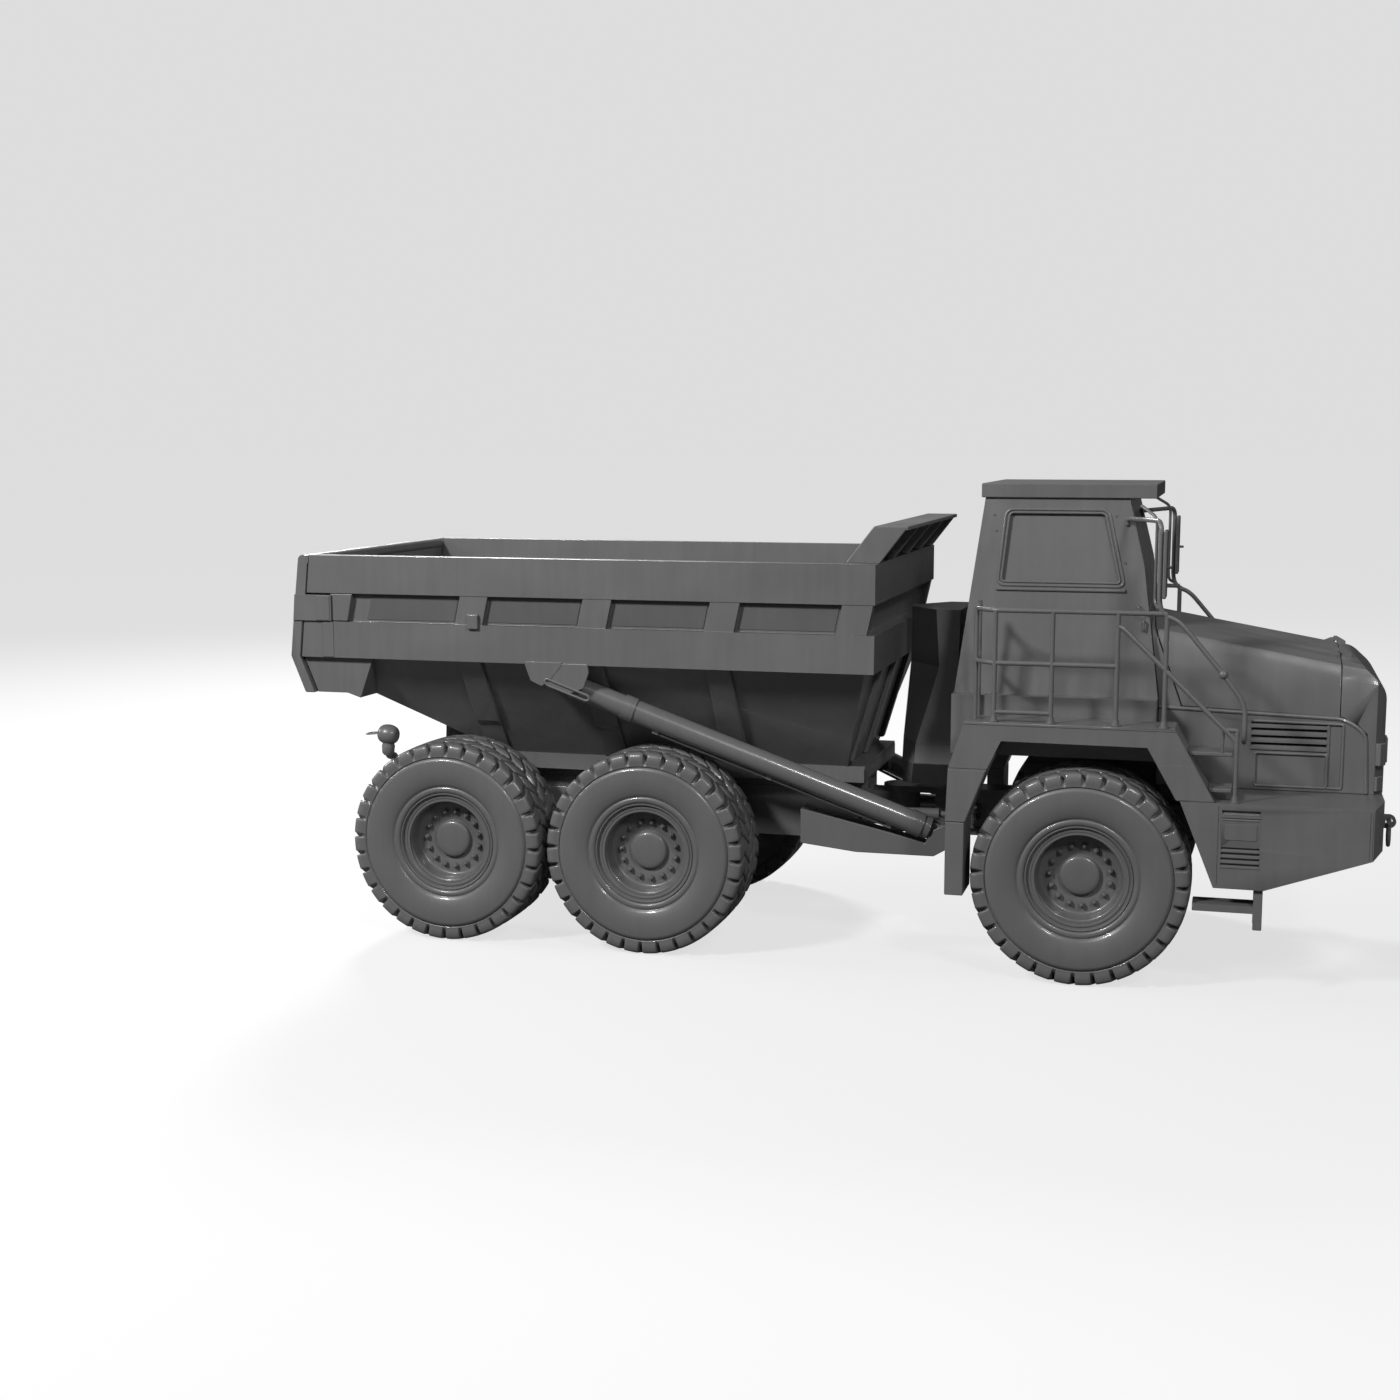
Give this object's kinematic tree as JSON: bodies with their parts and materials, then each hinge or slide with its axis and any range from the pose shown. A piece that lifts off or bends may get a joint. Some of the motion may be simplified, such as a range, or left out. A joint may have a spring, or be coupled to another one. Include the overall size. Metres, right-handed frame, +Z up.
{
  "type": "articulated dump truck",
  "caption": "Off-road hauler hinged between its cab end and its load end, with a tipping bed, hoist and steering cylinders, lugged tyres and a hood that lifts.",
  "frame": {"origin": "centre of the bounding box in X and Y, on the ground", "axes": "+X to the front, +Y to the truck's left, +Z up"},
  "size_m": [8.6099, 2.94, 3.708],
  "materials": {
    "tyre": "plain grey rubber, satin",
    "rim_paint": "plain grey satin",
    "body_paint": "plain grey satin with soft dents",
    "frame_paint": "plain grey satin",
    "cylinder_paint": "plain grey satin",
    "rod_chrome": "plain grey, a little smoother",
    "window_glass": null,
    "flap_rubber": "plain grey, dull",
    "trim_plastic": "plain grey",
    "engine_iron": "plain grey, dull",
    "lamp_lens": "plain grey, a little smoother"
  },
  "bodies": {
    "rear_unit": {"rear_frame": "frame_paint", "hoist_brackets": "frame_paint", "mid_axle": "frame_paint", "rear_axle": "frame_paint", "bogie_beams": "frame_paint", "tail_lamps": "frame_paint"},
    "hitch": {"hitch_casting": "frame_paint"},
    "front_unit": {"front_frame": "frame_paint", "front_axle": "frame_paint", "engine_block": "engine_iron", "bumper": "body_paint", "tow_hooks": "frame_paint", "nose": "body_paint", "grille": "body_paint", "headlamps": "lamp_lens", "side_panels": "body_paint", "cowl": "body_paint", "fenders": "body_paint", "mudflaps": "flap_rubber", "railings": "frame_paint", "steps": "frame_paint", "lower_steps": "frame_paint", "cab_shell": "body_paint", "cab_glass": "window_glass", "cab_roof": "body_paint", "cab_interior": "trim_plastic", "mirrors": "frame_paint", "tank_base": "body_paint", "tank_housing": "body_paint"},
    "door": {"cab_door": "body_paint", "door_glass": "window_glass"},
    "hood_lid": {"hood": "body_paint"},
    "bed": {"bed_shell": "body_paint", "bed_ribs": "body_paint", "rock_guard": "body_paint"},
    "gate": {"tailgate": "body_paint"},
    "front_wheel_l": {"front_tyre_l": "tyre", "front_rim_l": "rim_paint"},
    "front_wheel_r": {"front_tyre_r": "tyre", "front_rim_r": "rim_paint"},
    "mid_wheel_l": {"mid_tyre_l": "tyre", "mid_rim_l": "rim_paint"},
    "mid_wheel_r": {"mid_tyre_r": "tyre", "mid_rim_r": "rim_paint"},
    "rear_wheel_l": {"rear_tyre_l": "tyre", "rear_rim_l": "rim_paint"},
    "rear_wheel_r": {"rear_tyre_r": "tyre", "rear_rim_r": "rim_paint"},
    "steer_cylinder_l": {"steer_barrel_l": "cylinder_paint"},
    "steer_plunger_l": {"steer_rod_l": "rod_chrome"},
    "steer_cylinder_r": {"steer_barrel_r": "cylinder_paint"},
    "steer_plunger_r": {"steer_rod_r": "rod_chrome"},
    "hoist_cylinder_l": {"hoist_barrel_l": "cylinder_paint"},
    "hoist_plunger_l": {"hoist_rod_l": "rod_chrome"},
    "hoist_cylinder_r": {"hoist_barrel_r": "cylinder_paint"},
    "hoist_plunger_r": {"hoist_rod_r": "rod_chrome"}
  },
  "joints": [
    {"name": "frame_roll", "type": "hinge", "parent": "rear_unit", "child": "hitch", "pos_m": [0.184, 0, 1.03], "axis": [-1, 0, 0], "range_deg": [-12, 12]},
    {"name": "articulation", "type": "hinge", "parent": "hitch", "child": "front_unit", "pos_m": [0.494, 0, 1.03], "axis": [0, 0, 1], "range_deg": [-30, 30]},
    {"name": "bed_tip", "type": "hinge", "parent": "rear_unit", "child": "bed", "pos_m": [-3.286, 0, 1.38], "axis": [0, -1, 0], "range_deg": [0, 70]},
    {"name": "gate_swing", "type": "hinge", "parent": "bed", "child": "gate", "pos_m": [-4.178, 0, 3.069], "axis": [0, 1, 0], "range_deg": [0, 45]},
    {"name": "cab_door_swing", "type": "hinge", "parent": "front_unit", "child": "door", "pos_m": [1.571, 0.82685, 2.82656], "axis": [0, -0.1203, 0.9927], "range_deg": [0, 45]},
    {"name": "hood_lift", "type": "hinge", "parent": "front_unit", "child": "hood_lid", "pos_m": [3.874, 0, 2.475], "axis": [0, 1, 0], "range_deg": [0, 55]},
    {"name": "front_wheel_l_spin", "type": "hinge", "parent": "front_unit", "child": "front_wheel_l", "pos_m": [2.054, 1.15, 0.81], "axis": [0, 1, 0], "continuous": true},
    {"name": "front_wheel_r_spin", "type": "hinge", "parent": "front_unit", "child": "front_wheel_r", "pos_m": [2.054, -1.15, 0.81], "axis": [0, 1, 0], "continuous": true},
    {"name": "mid_wheel_l_spin", "type": "hinge", "parent": "rear_unit", "child": "mid_wheel_l", "pos_m": [-1.316, 1.15, 0.81], "axis": [0, 1, 0], "continuous": true},
    {"name": "mid_wheel_r_spin", "type": "hinge", "parent": "rear_unit", "child": "mid_wheel_r", "pos_m": [-1.316, -1.15, 0.81], "axis": [0, 1, 0], "continuous": true},
    {"name": "rear_wheel_l_spin", "type": "hinge", "parent": "rear_unit", "child": "rear_wheel_l", "pos_m": [-2.986, 1.15, 0.81], "axis": [0, 1, 0], "continuous": true},
    {"name": "rear_wheel_r_spin", "type": "hinge", "parent": "rear_unit", "child": "rear_wheel_r", "pos_m": [-2.986, -1.15, 0.81], "axis": [0, 1, 0], "continuous": true},
    {"name": "steer_barrel_l_turn", "type": "hinge", "parent": "hitch", "child": "steer_cylinder_l", "pos_m": [0.274, 0.34, 1.03], "axis": [0, 0, 1], "range_deg": [-21.83, 21.83]},
    {"name": "steer_rod_l_slide", "type": "slide", "parent": "steer_cylinder_l", "child": "steer_plunger_l", "axis": [0.9973, -0.073, 0], "range_m": [-0.1713, 0.1713]},
    {"name": "steer_barrel_r_turn", "type": "hinge", "parent": "hitch", "child": "steer_cylinder_r", "pos_m": [0.274, -0.34, 1.03], "axis": [0, 0, 1], "range_deg": [-21.83, 21.83]},
    {"name": "steer_rod_r_slide", "type": "slide", "parent": "steer_cylinder_r", "child": "steer_plunger_r", "axis": [0.9973, 0.073, 0], "range_m": [-0.1713, 0.1713]},
    {"name": "hoist_barrel_l_turn", "type": "hinge", "parent": "rear_unit", "child": "hoist_cylinder_l", "pos_m": [0.964, 0.73, 0.95], "axis": [0.3299, -0.1994, 0.9227], "range_deg": [0, 3.62]},
    {"name": "hoist_rod_l_slide", "type": "slide", "parent": "hoist_cylinder_l", "child": "hoist_plunger_l", "axis": [-0.9118, 0.1859, 0.3662], "range_m": [0, 1.602]},
    {"name": "hoist_barrel_r_turn", "type": "hinge", "parent": "rear_unit", "child": "hoist_cylinder_r", "pos_m": [0.964, -0.73, 0.95], "axis": [-0.3299, -0.1994, -0.9227], "range_deg": [0, 3.62]},
    {"name": "hoist_rod_r_slide", "type": "slide", "parent": "hoist_cylinder_r", "child": "hoist_plunger_r", "axis": [-0.9118, -0.1859, 0.3662], "range_m": [0, 1.602]}
  ],
  "couplings": [
    {"joint": "steer_barrel_l_turn", "follows": "articulation", "ratio": 0.71108},
    {"joint": "steer_rod_l_slide", "follows": "articulation", "m_per_rad": -0.31957},
    {"joint": "steer_barrel_r_turn", "follows": "articulation", "ratio": 0.71108},
    {"joint": "steer_rod_r_slide", "follows": "articulation", "m_per_rad": 0.31957},
    {"joint": "hoist_barrel_l_turn", "follows": "bed_tip", "ratio": 0.05027},
    {"joint": "hoist_rod_l_slide", "follows": "bed_tip", "m_per_rad": 1.3072},
    {"joint": "hoist_barrel_r_turn", "follows": "bed_tip", "ratio": 0.05027},
    {"joint": "hoist_rod_r_slide", "follows": "bed_tip", "m_per_rad": 1.3072}
  ]
}
